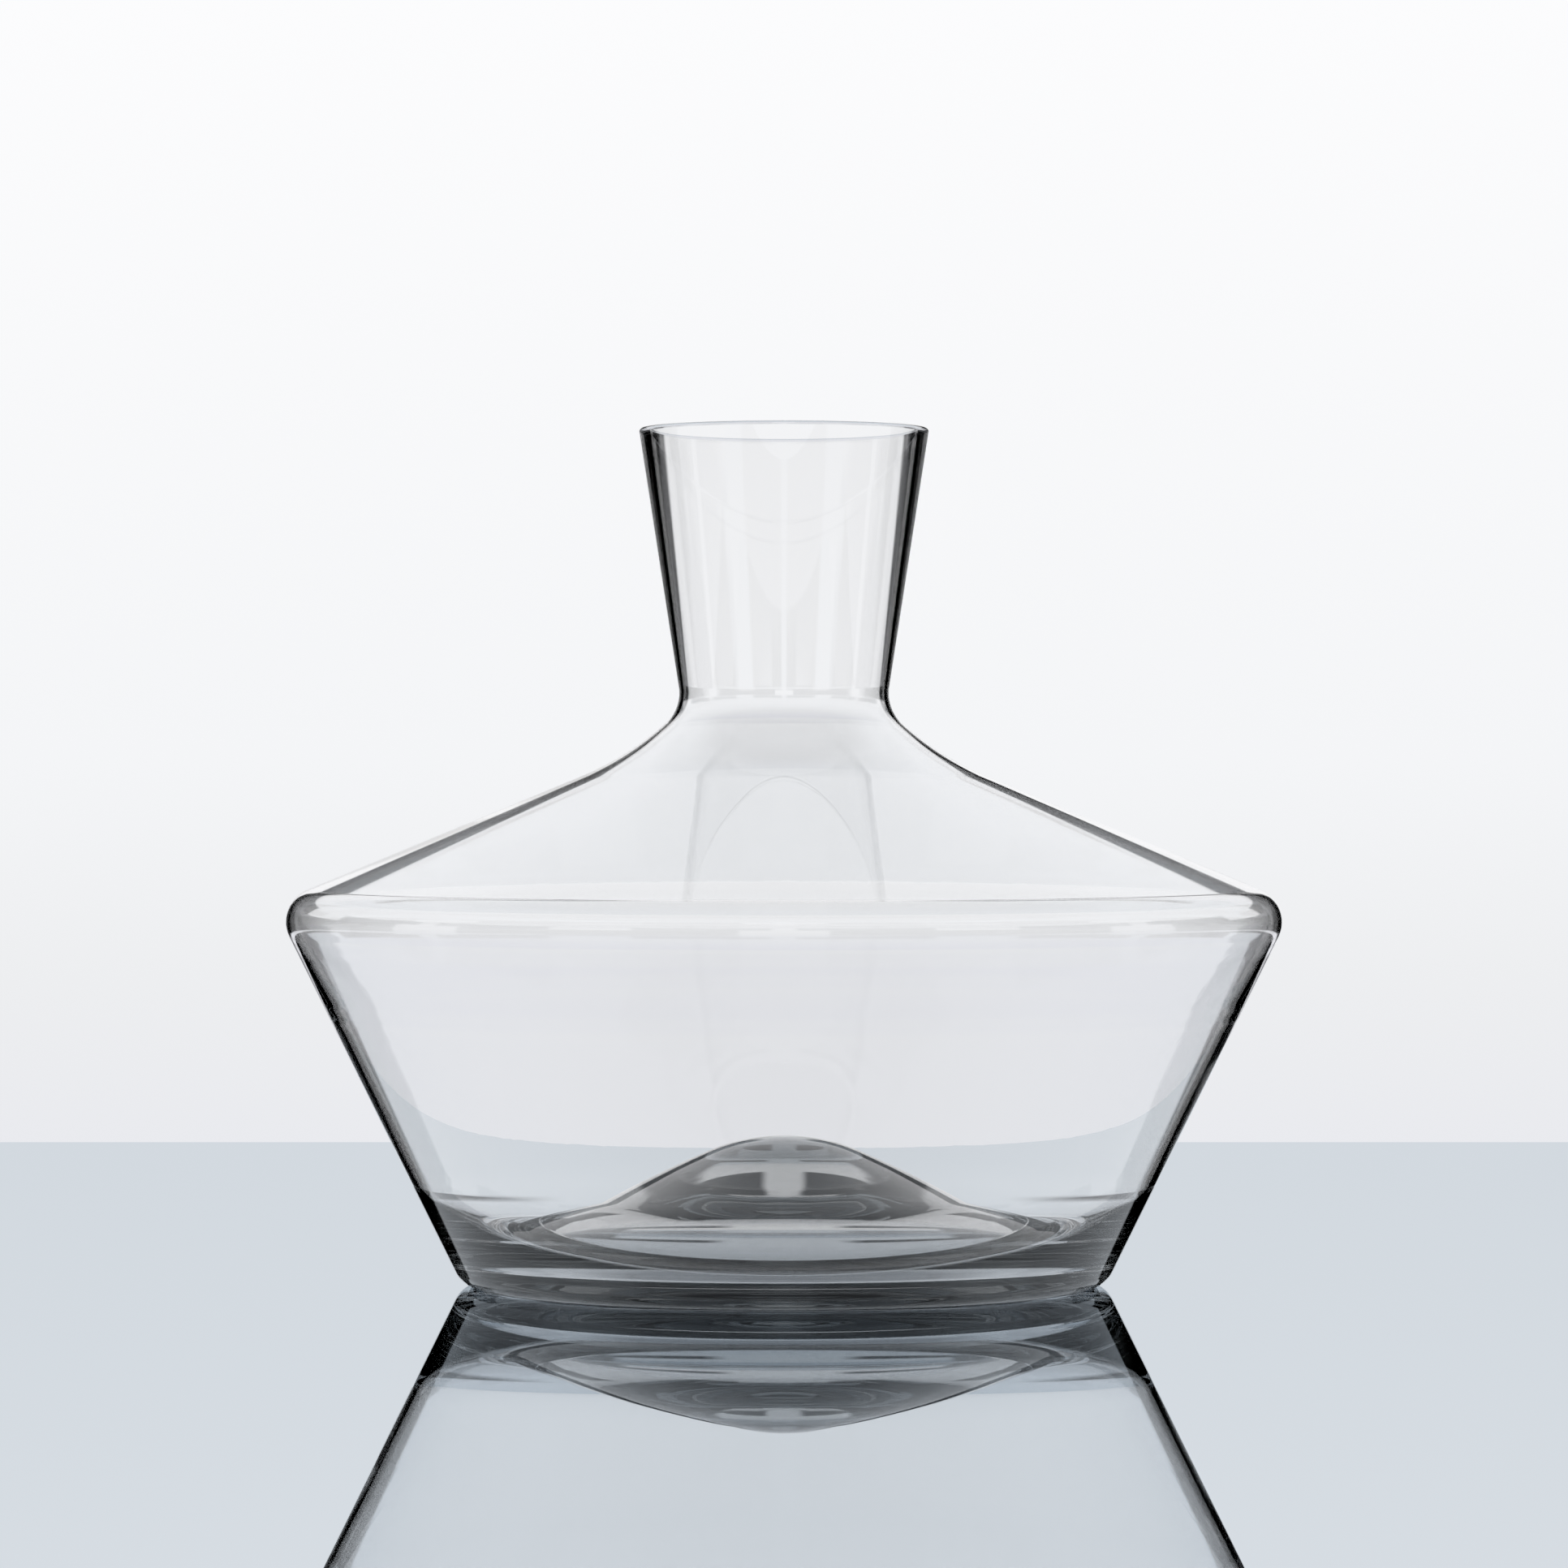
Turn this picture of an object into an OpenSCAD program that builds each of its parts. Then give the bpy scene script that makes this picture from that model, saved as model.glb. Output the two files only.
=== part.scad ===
// Wine decanter, blown in one piece of clear glass: a flared neck on a wide, low body whose
// thick base rises into a dome, the punt. It is open at the top and has no stopper.
//
// Millimetres. +Z is up, along the axis of symmetry. The origin is the centre of the base,
// and z = 0 is the plane that the decanter stands on.
//
// The wall is drawn as half a cross-section in [radius, height] points. Each zone is a closed
// outline turned about Z, and it meets its neighbours face to face.

/* [Overall] */
// Height from the table to the rim
height = 198; // [185:1:215]
// Outer diameter of the belly, the widest ring
belly_d = 230; // [215:1:245]
// Height of the widest ring above the table
belly_z = 84; // [78:1:90]

/* [Neck] */
// Outer diameter of the mouth
mouth_d = 67; // [60:1:75]
// Outer diameter of the throat, the narrowest ring
throat_d = 48.6; // [44:0.2:54]
// Radius of the tight bend at the throat
throat_bend = 9.5; // [7:0.5:12]
// Radius of the easy bend between the throat and the shoulder
collar_bend = 67; // [55:1:80]
// Slope at which the tight bend gives way to the easy one, in degrees
collar_slope = 42; // [36:1:48]
// Height of the polished lip
lip_h = 4; // [3:0.5:8]
// Rounding of the lip's two edges
lip_edge = 0.8; // [0.4:0.1:0.9]

/* [Body] */
// Slope of the shoulder below horizontal, in degrees
shoulder_slope = 22.5; // [19:0.5:26]
// Radius of the outer bend round the belly
belly_bend = 8; // [5:0.5:12]
// Lean of the bowl's wall from vertical, in degrees
bowl_lean = 26.3; // [24:0.1:28]

/* [Wall] */
// Wall at the lip
lip_wall = 2.5; // [2:0.1:3.5]
// Wall from the throat down to the upper half of the bowl
body_wall = 1.1; // [0.8:0.1:1.3]
// Wall of the bowl's lower half, down to the curve that thickens it into the heel
bowl_wall = 1.5; // [1.4:0.1:1.8]
// Radius of the two long curves on the inner face that start and end the growth between the two
step_bend = 300; // [200:10:400]
// Angle between the wall's two faces where it grows, in degrees
step_turn = 1.4; // [1:0.1:1.6]
// Radius of the curve that thickens the wall into the heel
foot_bend = 52; // [45:1:60]
// Angle that the curve into the heel turns through, in degrees
foot_turn = 22; // [16:1:24]

/* [Base] */
// Glass under the lowest ring of the floor
floor_wall = 6.2; // [5:0.2:8]
// Radius of the heel's outer edge
heel_edge = 6; // [4:0.5:8]
// Radius of the trough between the wall and the punt
trough_bend = 9; // [8:1:11]
// Height of the punt's top above the table, inside the decanter
punt_h = 34.7; // [32:0.1:37]
// Slope at the foot of the punt, in degrees
punt_foot_slope = 33; // [31:1:36]
// Slope at which the punt's flank gives way to its crown, in degrees
punt_crown_slope = 23; // [20:1:25]
// Inner radius of the flat ring that the decanter stands on
ring_r = 54; // [48:1:62]
// Height of the shallow hollow under the punt
hollow_h = 16; // [8:1:20]
// Radius of the edge between the flat ring and the hollow
hollow_edge = 4; // [3:0.5:8]

/* [Hidden] */
glass = [0.82, 0.87, 0.90, 0.45];
// Facets round the axis, and the most degrees of bend that one step of an arc covers
$fn = 180;
bend_step = 8;

// Point at an angle on a circle. The angle is counted up from the outward radial direction.
function on(centre, bend, angle) = centre + bend * [cos(angle), sin(angle)];

// Points along an arc, both ends included
function arc(centre, bend, from, to) =
    let (steps = max(4, ceil(abs(to - from) / bend_step)))
    [for (i = [0:steps]) on(centre, bend, from + (to - from) * i / steps)];

// Two outlines joined at the point that ends the first and starts the second
function joined(first, second) = concat(first, [for (i = [1:len(second) - 1]) second[i]]);

function reversed(points) = [for (i = [len(points) - 1:-1:0]) points[i]];

// How far a point lies out along the bowl wall's own normal
bowl_normal = [cos(bowl_lean), -sin(bowl_lean)];
function bowl_reach(point) = point * bowl_normal;

// Belly: both faces of the wall bend about one centre
belly_c = [belly_d / 2 - belly_bend, belly_z];
belly_top_a = 90 - shoulder_slope;

// Throat and collar: the shoulder's line is tangent to the easy bend, and the easy bend is
// tangent to the tight one, which sets their heights
throat_c_r = throat_d / 2 + throat_bend;
collar_c_r = throat_c_r + (collar_bend - throat_bend) * sin(collar_slope);
shoulder_top_r = collar_c_r - collar_bend * sin(shoulder_slope);
shoulder_foot = on(belly_c, belly_bend, belly_top_a);
shoulder_top_z = shoulder_foot.y + (shoulder_foot.x - shoulder_top_r) * tan(shoulder_slope);
collar_c = [collar_c_r, shoulder_top_z + collar_bend * cos(shoulder_slope)];
throat_c = [throat_c_r, collar_c.y - (collar_bend - throat_bend) * cos(collar_slope)];
collar_top_a = 270 - collar_slope;
collar_foot_a = 270 - shoulder_slope;

// Neck: each face is a straight line, tangent to the throat's bend and to an edge of the lip
lip_outer_c = [mouth_d / 2 - lip_edge, height - lip_edge];
lip_inner_c = [mouth_d / 2 - lip_wall + lip_edge, height - lip_edge];
function neck_lean(lip_c, bend_sum) =
    let (run = lip_c - throat_c)
    atan2(run.x, run.y) + asin(bend_sum / norm(run));
outer_lean = neck_lean(lip_outer_c, throat_bend + lip_edge);
inner_lean = neck_lean(lip_inner_c, throat_bend + body_wall - lip_edge);
function below_lip(edge_point, lean) =
    [edge_point.x - (edge_point.y - height + lip_h) * tan(lean), height - lip_h];
lip_foot_outer = below_lip(on(lip_outer_c, lip_edge, -outer_lean), outer_lean);
lip_foot_inner = below_lip(on(lip_inner_c, lip_edge, 180 - inner_lean), inner_lean);

// Bowl: point at a height on a line that is parallel to the wall's outer face and lies this
// deep behind it
outer_reach = bowl_reach(belly_c) + belly_bend;
function behind_face(depth, z) = [(outer_reach - depth + z * sin(bowl_lean)) / cos(bowl_lean), z];

// Step in the bowl's wall: a straight run on its inner face between two equal and opposite curves,
// from the belly's foot down
belly_foot_inner = on(belly_c, belly_bend - body_wall, -bowl_lean);
step_a = -bowl_lean - step_turn;
step_run = (bowl_wall - body_wall - 2 * step_bend * (1 - cos(step_turn))) / sin(step_turn);
step_upper_c = on(belly_foot_inner, -step_bend, -bowl_lean);
step_upper_foot = on(step_upper_c, step_bend, step_a);
step_lower_c = on(on(step_upper_foot, step_run, step_a - 90), step_bend, step_a);

// Trough: the lowest ring of the floor. The curve above it ends at its outer side, and starts
// where it is tangent to the lower half of the bowl's wall.
trough_top_a = -bowl_lean - foot_turn;
trough_foot_a = -90 - punt_foot_slope;
foot_rise = (foot_bend - trough_bend) * -sin(trough_top_a);
foot_c = behind_face(bowl_wall + foot_bend, floor_wall + trough_bend + foot_rise);
trough_c = on(foot_c, foot_bend - trough_bend, trough_top_a);

// Heel: the outer edge is tangent to the bowl's wall and to the table
heel_c = behind_face(heel_edge, heel_edge);
heel_top_inner = on(trough_c, trough_bend, trough_top_a);
heel_top_outer = heel_top_inner + (outer_reach - bowl_reach(heel_top_inner)) * bowl_normal;

// Punt: the bends of its flank and its crown together span the run from its foot to the axis
// and the rise from its foot to its top
punt_run = on(trough_c, trough_bend, trough_foot_a).x;
punt_rise = punt_h - on(trough_c, trough_bend, trough_foot_a).y;
flank_run = sin(punt_foot_slope) - sin(punt_crown_slope);
flank_rise = cos(punt_crown_slope) - cos(punt_foot_slope);
crown_run = sin(punt_crown_slope);
crown_rise = 1 - cos(punt_crown_slope);
span = flank_run * crown_rise - flank_rise * crown_run;
flank_bend = (punt_run * crown_rise - punt_rise * crown_run) / span;
crown_bend = (punt_rise * flank_run - punt_run * flank_rise) / span;
flank_foot_a = 90 - punt_foot_slope;
crown_foot_a = 90 - punt_crown_slope;
flank_c = on(trough_c, trough_bend + flank_bend, trough_foot_a);
crown_c = [0, punt_h - crown_bend];

// Hollow: a shallow sphere under the punt, tangent to the rounded edge that rises from the flat ring
hollow_edge_c = [ring_r, hollow_edge];
hollow_bend = (ring_r ^ 2 + hollow_h ^ 2) / (2 * hollow_h) - hollow_edge;
hollow_c = [0, hollow_h - hollow_bend];
hollow_slope = asin(ring_r / (hollow_bend + hollow_edge));

// One zone of the wall: its outer and inner faces, each listed from the rim end
module zone(outer, inner) {
    rotate_extrude() polygon(concat(outer, reversed(inner)));
}

module lip() {
    outer = concat(arc(lip_outer_c, lip_edge, 90, -outer_lean), [lip_foot_outer]);
    inner = concat(arc(lip_inner_c, lip_edge, 90, 180 - inner_lean), [lip_foot_inner]);
    color(glass) zone(outer, inner);
}

module neck() {
    outer = [lip_foot_outer, on(throat_c, throat_bend, 180 - outer_lean)];
    inner = [lip_foot_inner, on(throat_c, throat_bend + body_wall, 180 - inner_lean)];
    color(glass) zone(outer, inner);
}

module throat() {
    outer = joined(
        arc(throat_c, throat_bend, 180 - outer_lean, collar_top_a),
        arc(collar_c, collar_bend, collar_top_a, collar_foot_a)
    );
    inner = joined(
        arc(throat_c, throat_bend + body_wall, 180 - inner_lean, collar_top_a),
        arc(collar_c, collar_bend + body_wall, collar_top_a, collar_foot_a)
    );
    color(glass) zone(outer, inner);
}

module shoulder() {
    outer = [on(collar_c, collar_bend, collar_foot_a), shoulder_foot];
    inner = [
        on(collar_c, collar_bend + body_wall, collar_foot_a),
        on(belly_c, belly_bend - body_wall, belly_top_a)
    ];
    color(glass) zone(outer, inner);
}

module belly() {
    outer = arc(belly_c, belly_bend, belly_top_a, -bowl_lean);
    inner = arc(belly_c, belly_bend - body_wall, belly_top_a, -bowl_lean);
    color(glass) zone(outer, inner);
}

module bowl() {
    outer = [on(belly_c, belly_bend, -bowl_lean), heel_top_outer];
    step_upper = arc(step_upper_c, step_bend, -bowl_lean, step_a);
    step_lower = arc(step_lower_c, step_bend, 180 + step_a, 180 - bowl_lean);
    foot = arc(foot_c, foot_bend, -bowl_lean, trough_top_a);
    inner = concat(joined([belly_foot_inner], step_upper), step_lower, foot);
    color(glass) zone(outer, inner);
}

module heel() {
    outer = concat(
        [heel_top_outer],
        arc(heel_c, heel_edge, -bowl_lean, -90),
        arc(hollow_edge_c, hollow_edge, 270, 270 - hollow_slope)
    );
    inner = arc(trough_c, trough_bend, trough_top_a, trough_foot_a);
    color(glass) zone(outer, inner);
}

module punt() {
    upper = joined(
        arc(flank_c, flank_bend, flank_foot_a, crown_foot_a),
        arc(crown_c, crown_bend, crown_foot_a, 90)
    );
    lower = arc(hollow_c, hollow_bend, 90 - hollow_slope, 90);
    color(glass) zone(lower, upper);
}

lip();
neck();
throat();
shoulder();
belly();
bowl();
heel();
punt();
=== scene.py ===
"""The wine decanter's looks: one continuous wall of clear glass, lathed round the CAD outline, on a
glossy pale table against a bright backdrop."""

import math

import bpy
import numpy as np
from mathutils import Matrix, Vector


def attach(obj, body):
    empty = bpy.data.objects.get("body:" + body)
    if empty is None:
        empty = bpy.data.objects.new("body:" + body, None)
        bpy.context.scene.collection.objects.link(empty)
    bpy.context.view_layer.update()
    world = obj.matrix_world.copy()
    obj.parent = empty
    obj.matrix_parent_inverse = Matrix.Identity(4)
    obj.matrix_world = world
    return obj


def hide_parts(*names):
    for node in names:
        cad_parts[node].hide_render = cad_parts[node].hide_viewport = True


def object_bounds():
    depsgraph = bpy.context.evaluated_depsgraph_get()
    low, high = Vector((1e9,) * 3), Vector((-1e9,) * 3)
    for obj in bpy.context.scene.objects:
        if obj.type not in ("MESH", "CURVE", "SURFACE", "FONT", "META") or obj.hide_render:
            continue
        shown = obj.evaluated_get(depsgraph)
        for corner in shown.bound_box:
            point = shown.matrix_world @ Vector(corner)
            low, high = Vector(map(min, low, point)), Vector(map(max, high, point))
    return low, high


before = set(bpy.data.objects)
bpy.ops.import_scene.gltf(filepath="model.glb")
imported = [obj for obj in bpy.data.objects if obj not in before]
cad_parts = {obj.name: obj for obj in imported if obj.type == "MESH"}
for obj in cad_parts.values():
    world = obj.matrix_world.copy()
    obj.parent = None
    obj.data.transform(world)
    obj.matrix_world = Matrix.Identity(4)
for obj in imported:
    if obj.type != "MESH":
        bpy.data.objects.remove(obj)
cad_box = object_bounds()

CAD_NODES = sorted(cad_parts)

# Camera, in metres from the decanter's axis and from the table
CAMERA_DISTANCE = 1.44
CAMERA_HEIGHT = 0.120
AIM_HEIGHT = 0.1157
LENS_MM = 142.9
SENSOR_MM = 36

# How often a ray may pass on through glass, or bounce off a mirror, before it is dropped
GLASS_BOUNCES = 48
MIRROR_BOUNCES = 24

# Table, in metres: how far its edges lie from the decanter's axis, its corners' radius and its slab
TABLE_BACK = 0.543
TABLE_FRONT = 0.75
TABLE_SIDE = 0.65
TABLE_CORNER = 0.08
TABLE_THICKNESS = 0.012
CORNER_STEPS = 8

# Air between the glass and the table, in metres, so that the two surfaces never share a plane
AIR_UNDER_GLASS = 0.00005

# Share of red, green and blue light that the table mirrors
TABLE_SHINE = (0.69, 0.735, 0.775, 1.0)

# Refraction of the glass, and its absorption: in each metre, light decays at the density times what
# the tint lacks of white
GLASS_IOR = 1.5
GLASS_TINT = (0.742, 0.75, 0.753, 1.0)
GLASS_DENSITY = 60

# Faint waves that blowing leaves in the glass: how many in a metre, and their depth in metres
WAVES = 25
WAVE_DEPTH = 4e-5

# The studio is bright all round, apart from black flags between and above its backdrops. The glass's
# edges bend the view into the flags, which draws them dark. A flag has a number of copies round the
# circle, its nearest and furthest azimuth from the backdrop that each copy frames, and its lowest and
# highest elevation. Angles are in degrees.
FLAGS = [
    (4, 11, 50, -5, 8),
    (8, 11, 25, 8, 16),
    (4, 3.5, 13, 11, 17),
]
FLAG_SIDE_SOFTNESS = 1.5
FLAG_TOP_SOFTNESS = 1.0

# Colour of the backdrops at each elevation, on the display's scale of 0 to 255
GLOW_STOPS = [
    (-4, (232, 233, 238)),
    (-2, (237, 238, 240)),
    (0, (244, 245, 247)),
    (8, (253, 253, 254)),
    (32, (250, 250, 252)),
    (45, (236, 237, 239)),
    (60, (170, 171, 174)),
    (90, (140, 142, 146)),
]

# Mesh of the glass: segments round the axis, the turn of one step along a bend, and one step's length
# along a straight stretch
SEGMENTS = 320
BEND_STEP = math.radians(1.5)
STRAIGHT_STEP = 0.003

# Reading the outline: points closer than this are one ring, a smaller turn than this is none, and
# lengths whose ratio differs from 1 by less than this are equal
SAME_RING = 3e-5
STRAIGHT_TURN = math.radians(0.1)
SAME_LENGTH = 0.01


# ---------------------------------------------------------------- outline of the glass

def gap_to_link(point, start, end):
    """Distance from a point to the stretch between two others."""
    run = end - start
    share = np.clip((point - start) @ run / (run @ run), 0, 1)
    return math.hypot(*(point - start - share * run))


def cad_outline(nodes):
    """The glass's half section as (radius, height) points, from the underside's centre, out and up round
    the wall, and down inside it to the punt's top.

    Every CAD zone is a solid of revolution, so its vertices lie on rings and its edges link each ring to
    the next. A link that another zone's link covers lies inside the glass, where the two zones meet. The
    rest is one chain."""
    rings = np.empty((0, 2))
    links = set()
    for node in nodes:
        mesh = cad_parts[node].data
        points = np.array([v.co for v in mesh.vertices])
        flat = np.column_stack([np.hypot(points[:, 0], points[:, 1]), points[:, 2]])
        ring_of = np.empty(len(flat), int)
        for i, point in enumerate(flat):
            gaps = np.hypot(*(rings - point).T)
            if len(rings) and gaps.min() < SAME_RING:
                ring_of[i] = gaps.argmin()
            else:
                ring_of[i] = len(rings)
                rings = np.vstack([rings, point])
        pairs = {tuple(sorted(int(ring_of[v]) for v in edge.vertices)) for edge in mesh.edges}
        links |= {(a, b, node) for a, b in pairs if a != b}
    neighbours = {}
    for a, b, node in sorted(links):
        middle = (rings[a] + rings[b]) / 2
        others = ((c, d) for c, d, other in links if other != node)
        if all(gap_to_link(middle, rings[c], rings[d]) > SAME_RING for c, d in others):
            neighbours.setdefault(a, []).append(b)
            neighbours.setdefault(b, []).append(a)
    ends = sorted((r for r in neighbours if len(neighbours[r]) == 1), key=lambda r: rings[r][1])
    chain = [ends[0]]
    while chain[-1] != ends[1] and len(chain) < len(neighbours):
        before = chain[-2] if len(chain) > 1 else None
        chain.append(next(r for r in neighbours[chain[-1]] if r != before))
    return rings[chain]


def without_equal_parts(points):
    """The outline without the points that only divide a straight stretch into equal parts."""
    kept = [points[0]]
    for before, here, after in zip(points[:-2], points[1:-1], points[2:]):
        turn = heading(before, here) - heading(here, after)
        parts = math.dist(before, here) / math.dist(here, after)
        if abs(math.remainder(turn, math.tau)) > STRAIGHT_TURN or abs(parts - 1) > SAME_LENGTH:
            kept.append(here)
    return np.array(kept + [points[-1]])


def heading(start, end):
    """Angle of the way from one point to another, from straight outwards."""
    return math.atan2(end[1] - start[1], end[0] - start[0])


def rounded(points):
    """The outline with each chord bowed back out to the arc that it cuts across, and its headings.

    All of its stretches are tangent to each other, and it leaves the axis level, so the tangent turns
    as far from a chord's start to the chord as from the chord to its end."""
    fine = [points[0]]
    headings = [0.0]
    for start, end in zip(points[:-1], points[1:]):
        tangent = headings[-1]
        chord = heading(start, end)
        half_bend = math.remainder(chord - tangent, math.tau)
        length = math.hypot(*(end - start))
        if abs(half_bend) < STRAIGHT_TURN:
            steps = max(1, math.ceil(length / STRAIGHT_STEP))
            fine += [start + (end - start) * k / steps for k in range(1, steps + 1)]
            headings += [chord] * steps
        else:
            steps = max(2, math.ceil(2 * abs(half_bend) / BEND_STEP))
            radius = length / (2 * math.sin(half_bend))
            for k in range(1, steps + 1):
                half_turn = half_bend * k / steps
                reach = 2 * radius * math.sin(half_turn)
                way = tangent + half_turn
                fine.append(start + reach * np.array([math.cos(way), math.sin(way)]))
                headings.append(tangent + 2 * half_turn)
    return np.array(fine), headings


# ---------------------------------------------------------------- glass

def turned(pair):
    """A (radial, height) pair at every segment round the axis."""
    angles = [k * math.tau / SEGMENTS for k in range(SEGMENTS)]
    return [(pair[0] * math.cos(a), pair[0] * math.sin(a), pair[1]) for a in angles]


def lathe(name, outline, headings):
    """A closed mesh of the outline turned about Z. Both ends of the outline lie on the axis.

    Its normals lie exactly square to the outline, to the right of its heading."""
    between = outline[1:-1]
    verts = [(0.0, 0.0, outline[0][1])]
    normals = [(0.0, 0.0, -1.0)]
    for point, way in zip(between, headings[1:-1]):
        verts += turned(point)
        normals += turned((math.sin(way), -math.cos(way)))
    verts.append((0.0, 0.0, outline[-1][1]))
    normals.append((0.0, 0.0, 1.0))
    last = len(verts) - 1
    faces = []
    for i in range(SEGMENTS):
        j = (i + 1) % SEGMENTS
        faces.append((0, 1 + j, 1 + i))
        for ring in range(len(between) - 1):
            low = 1 + ring * SEGMENTS
            high = low + SEGMENTS
            faces.append((low + i, low + j, high + j, high + i))
        top = 1 + (len(between) - 1) * SEGMENTS
        faces.append((last, top + i, top + j))
    mesh = bpy.data.meshes.new(name)
    mesh.from_pydata(verts, [], faces)
    mesh.shade_smooth()
    mesh.normals_split_custom_set_from_vertices(normals)
    obj = bpy.data.objects.new(name, mesh)
    bpy.context.scene.collection.objects.link(obj)
    return obj


def glass_material():
    """Clear glass that absorbs a little light, with faint waves in its surface."""
    material = bpy.data.materials.new("clear_glass")
    material.use_nodes = True
    tree = material.node_tree
    shader = tree.nodes["Principled BSDF"]
    shader.inputs["Base Color"].default_value = (1.0, 1.0, 1.0, 1.0)
    shader.inputs["Roughness"].default_value = 0.0
    shader.inputs["IOR"].default_value = GLASS_IOR
    shader.inputs["Transmission Weight"].default_value = 1.0
    body = tree.nodes.new("ShaderNodeVolumeAbsorption")
    body.inputs["Color"].default_value = GLASS_TINT
    body.inputs["Density"].default_value = GLASS_DENSITY
    tree.links.new(body.outputs[0], tree.nodes["Material Output"].inputs["Volume"])
    place = tree.nodes.new("ShaderNodeTexCoord")
    waves = tree.nodes.new("ShaderNodeTexNoise")
    waves.inputs["Scale"].default_value = WAVES
    waves.inputs["Detail"].default_value = 1.0
    tree.links.new(place.outputs["Object"], waves.inputs["Vector"])
    surface = tree.nodes.new("ShaderNodeBump")
    surface.inputs["Distance"].default_value = WAVE_DEPTH
    tree.links.new(waves.outputs["Fac"], surface.inputs["Height"])
    tree.links.new(surface.outputs["Normal"], shader.inputs["Normal"])
    return material


def make_glass():
    """The whole decanter, no wider than the CAD's faceted one."""
    outline, headings = rounded(without_equal_parts(cad_outline(CAD_NODES)))
    half_width = min(cad_box[1][0], cad_box[1][1], -cad_box[0][0], -cad_box[0][1])
    outline[:, 0] *= min(1.0, half_width / outline[:, 0].max())
    glass = lathe("decanter_glass", outline, headings)
    glass.data.materials.append(glass_material())
    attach(glass, "root")
    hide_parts(*CAD_NODES)


# ---------------------------------------------------------------- studio

def math_node(tree, operation, first, second=None):
    """One sum in a node tree, on numbers or on other nodes' outputs."""
    node = tree.nodes.new("ShaderNodeMath")
    node.operation = operation
    for socket, value in zip(node.inputs, (first, second)):
        if value is None:
            continue
        if isinstance(value, (int, float)):
            socket.default_value = value
        else:
            tree.links.new(value, socket)
    return node.outputs[0]


def ramp_node(tree, value, start, end, low=0.0, high=1.0):
    """A smooth step from low at start to high at end."""
    node = tree.nodes.new("ShaderNodeMapRange")
    node.interpolation_type = "SMOOTHSTEP"
    tree.links.new(value, node.inputs["Value"])
    for name, number in (("From Min", start), ("From Max", end), ("To Min", low), ("To Max", high)):
        node.inputs[name].default_value = number
    return node.outputs["Result"]


def window(tree, value, start, end, softness):
    """1 between start and end, and 0 beyond a soft edge."""
    rise = ramp_node(tree, value, start - softness, start)
    fall = ramp_node(tree, value, end, end + softness, 1.0, 0.0)
    return math_node(tree, "MULTIPLY", rise, fall)


def linear(srgb):
    """A display colour of 0 to 255 as linear light."""
    parts = [c / 255 for c in srgb]
    return [c / 12.92 if c <= 0.04045 else ((c + 0.055) / 1.055) ** 2.4 for c in parts]


def make_world():
    """The studio as light that depends only on its direction: the glow, times what the flags let by."""
    world = bpy.data.worlds.new("studio")
    bpy.context.scene.world = world
    world.use_nodes = True
    tree = world.node_tree
    tree.nodes.clear()
    way = tree.nodes.new("ShaderNodeTexCoord").outputs["Generated"]
    parts = tree.nodes.new("ShaderNodeSeparateXYZ")
    tree.links.new(way, parts.inputs[0])
    azimuth = math_node(tree, "ARCTAN2", parts.outputs["X"], parts.outputs["Y"])
    elevation = math_node(tree, "MULTIPLY", math_node(tree, "ARCSINE", parts.outputs["Z"]), 180 / math.pi)
    lit = 1.0
    for copies, near, far, low, high in FLAGS:
        turns = math_node(tree, "MULTIPLY", azimuth, copies / math.tau)
        aside = math_node(tree, "MULTIPLY", math_node(tree, "PINGPONG", turns, 0.5), 360 / copies)
        across = window(tree, aside, near, far, FLAG_SIDE_SOFTNESS)
        upright = window(tree, elevation, low, high, FLAG_TOP_SOFTNESS)
        flag = math_node(tree, "MULTIPLY", across, upright)
        lit = math_node(tree, "MULTIPLY", lit, math_node(tree, "SUBTRACT", 1.0, flag))

    glow = tree.nodes.new("ShaderNodeValToRGB")
    ramp = glow.color_ramp
    first = GLOW_STOPS[0][0]
    last = GLOW_STOPS[-1][0]
    for i, (angle, srgb) in enumerate(GLOW_STOPS):
        place = (angle - first) / (last - first)
        # A new ramp has two stops already
        stop = ramp.elements[i] if i < 2 else ramp.elements.new(place)
        stop.position = place
        stop.color = (*linear(srgb), 1.0)
    share = tree.nodes.new("ShaderNodeMapRange")
    tree.links.new(elevation, share.inputs["Value"])
    share.inputs["From Min"].default_value = first
    share.inputs["From Max"].default_value = last
    tree.links.new(share.outputs["Result"], glow.inputs["Fac"])

    background = tree.nodes.new("ShaderNodeBackground")
    tree.links.new(glow.outputs["Color"], background.inputs["Color"])
    tree.links.new(lit, background.inputs["Strength"])
    out = tree.nodes.new("ShaderNodeOutputWorld")
    tree.links.new(background.outputs[0], out.inputs["Surface"])


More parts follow.
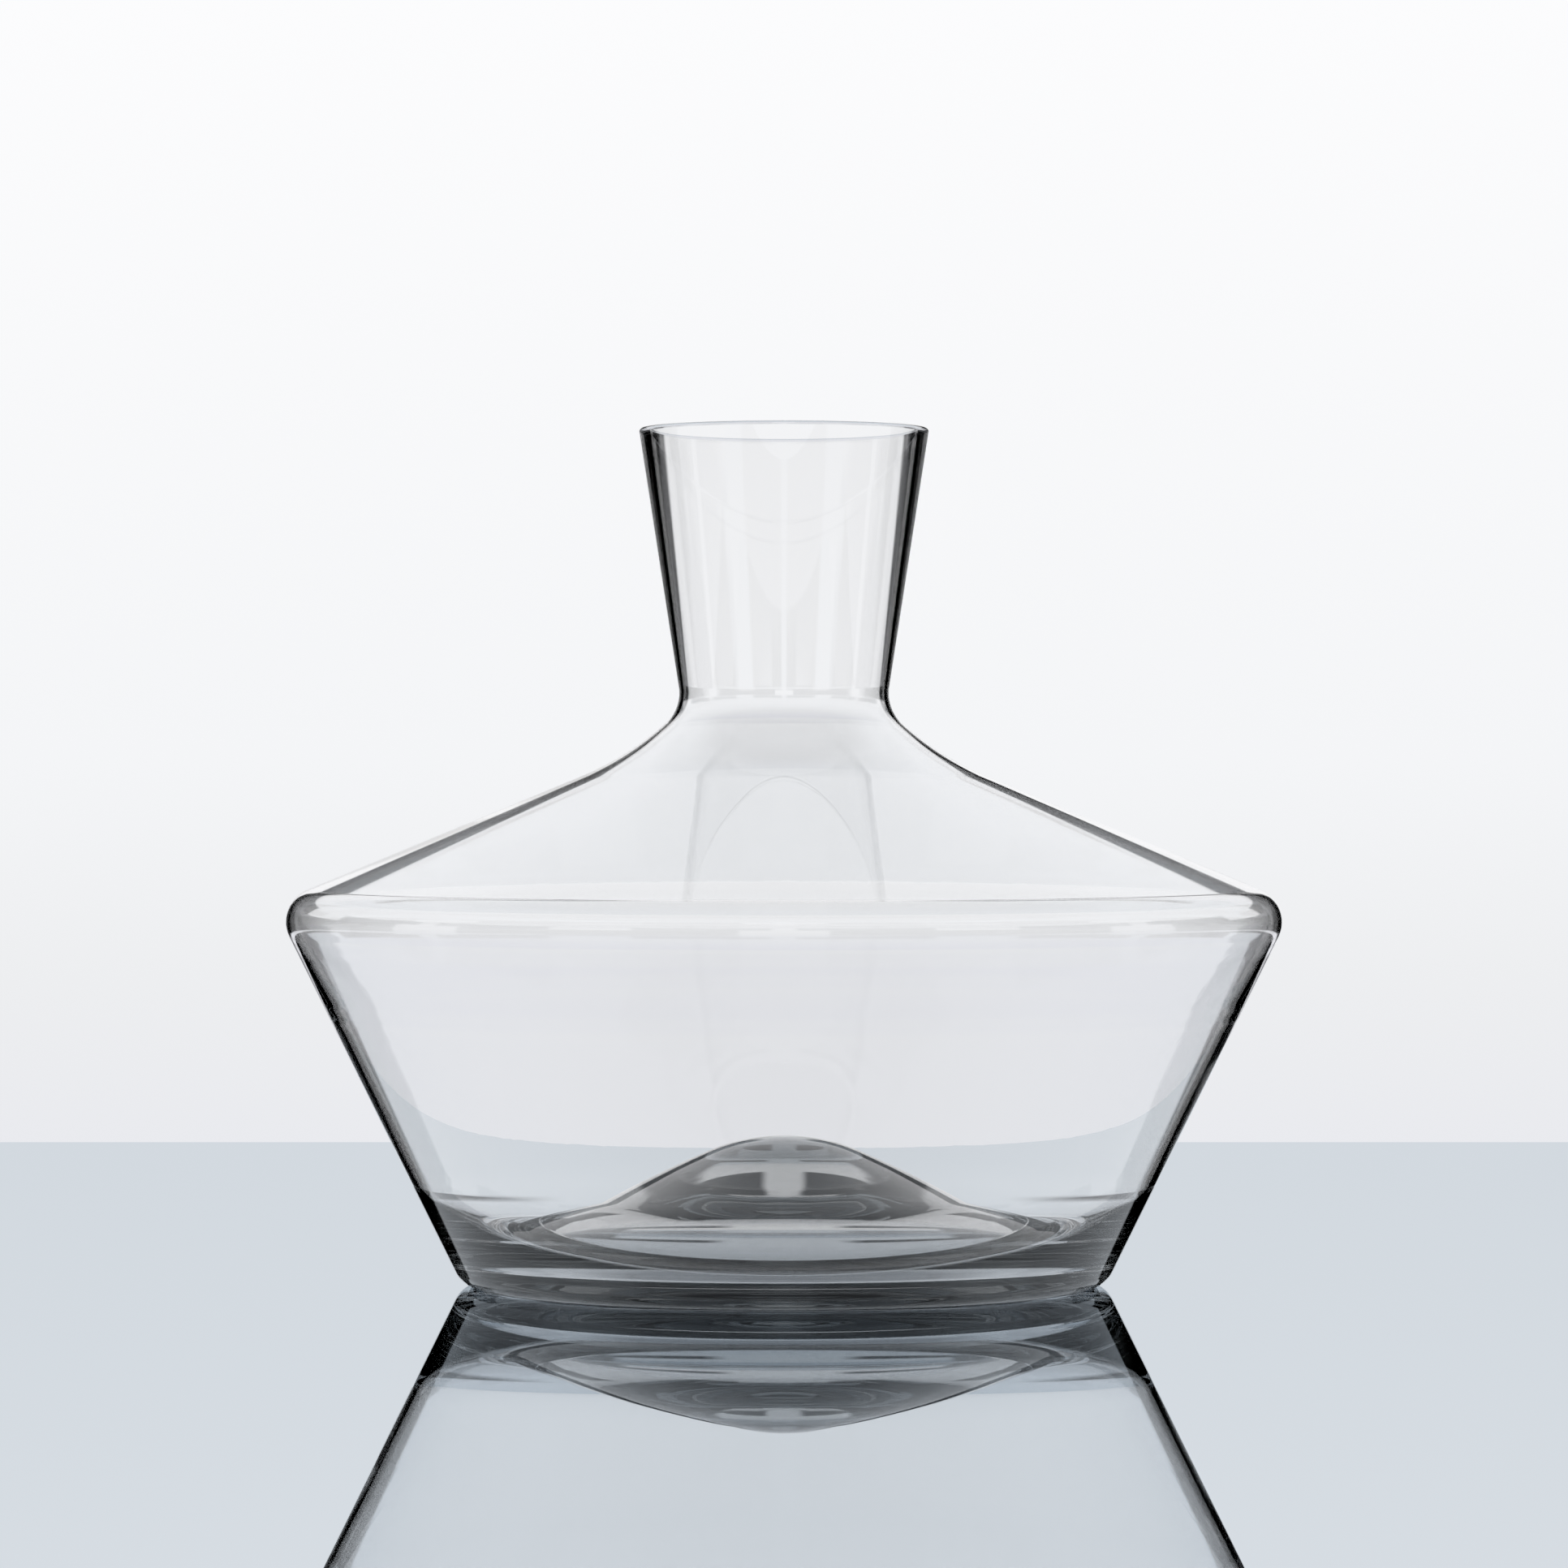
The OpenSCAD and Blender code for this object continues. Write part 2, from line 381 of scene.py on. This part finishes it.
def table_material():
    """A polished table top that mirrors the pale studio."""
    material = bpy.data.materials.new("polished_table")
    material.use_nodes = True
    tree = material.node_tree
    tree.nodes.clear()
    mirror = tree.nodes.new("ShaderNodeBsdfGlossy")
    mirror.inputs["Color"].default_value = TABLE_SHINE
    mirror.inputs["Roughness"].default_value = 0.0
    out = tree.nodes.new("ShaderNodeOutputMaterial")
    tree.links.new(mirror.outputs[0], out.inputs["Surface"])
    return material


def make_table():
    """A slab with rounded corners, just under the decanter. It belongs to the stage."""
    outline = []
    for sx, sy, angle in ((1, 1, 0), (-1, 1, 90), (-1, -1, 180), (1, -1, 270)):
        x = sx * (TABLE_SIDE - TABLE_CORNER)
        y = (TABLE_BACK - TABLE_CORNER) if sy > 0 else -(TABLE_FRONT - TABLE_CORNER)
        for k in range(CORNER_STEPS + 1):
            turn = math.radians(angle + 90 * k / CORNER_STEPS)
            outline.append((x + TABLE_CORNER * math.cos(turn), y + TABLE_CORNER * math.sin(turn)))
    top = cad_box[0][2] - AIR_UNDER_GLASS
    count = len(outline)
    verts = [(x, y, top) for x, y in outline] + [(x, y, top - TABLE_THICKNESS) for x, y in outline]
    faces = [tuple(range(count)), tuple(reversed(range(count, 2 * count)))]
    faces += [(i, i + count, (i + 1) % count + count, (i + 1) % count) for i in range(count)]
    mesh = bpy.data.meshes.new("table")
    mesh.from_pydata(verts, [], faces)
    table = bpy.data.objects.new("table", mesh)
    bpy.context.scene.collection.objects.link(table)
    mesh.materials.append(table_material())


def make_camera():
    """The camera stands in front of the decanter and looks at its axis."""
    data = bpy.data.cameras.new("camera")
    data.lens = LENS_MM
    data.sensor_width = SENSOR_MM
    camera = bpy.data.objects.new("camera", data)
    camera.location = (0, -CAMERA_DISTANCE, CAMERA_HEIGHT)
    pitch = math.atan2(AIM_HEIGHT - CAMERA_HEIGHT, CAMERA_DISTANCE)
    camera.rotation_euler = (math.pi / 2 + pitch, 0, 0)
    bpy.context.scene.collection.objects.link(camera)
    bpy.context.scene.camera = camera


def set_light_paths():
    """Plain display colours, and rays that last through all the walls of glass."""
    scene = bpy.context.scene
    scene.view_settings.view_transform = "Standard"
    scene.cycles.max_bounces = GLASS_BOUNCES
    scene.cycles.transmission_bounces = GLASS_BOUNCES
    scene.cycles.glossy_bounces = MIRROR_BOUNCES


make_camera()
set_light_paths()
make_world()
make_table()
make_glass()
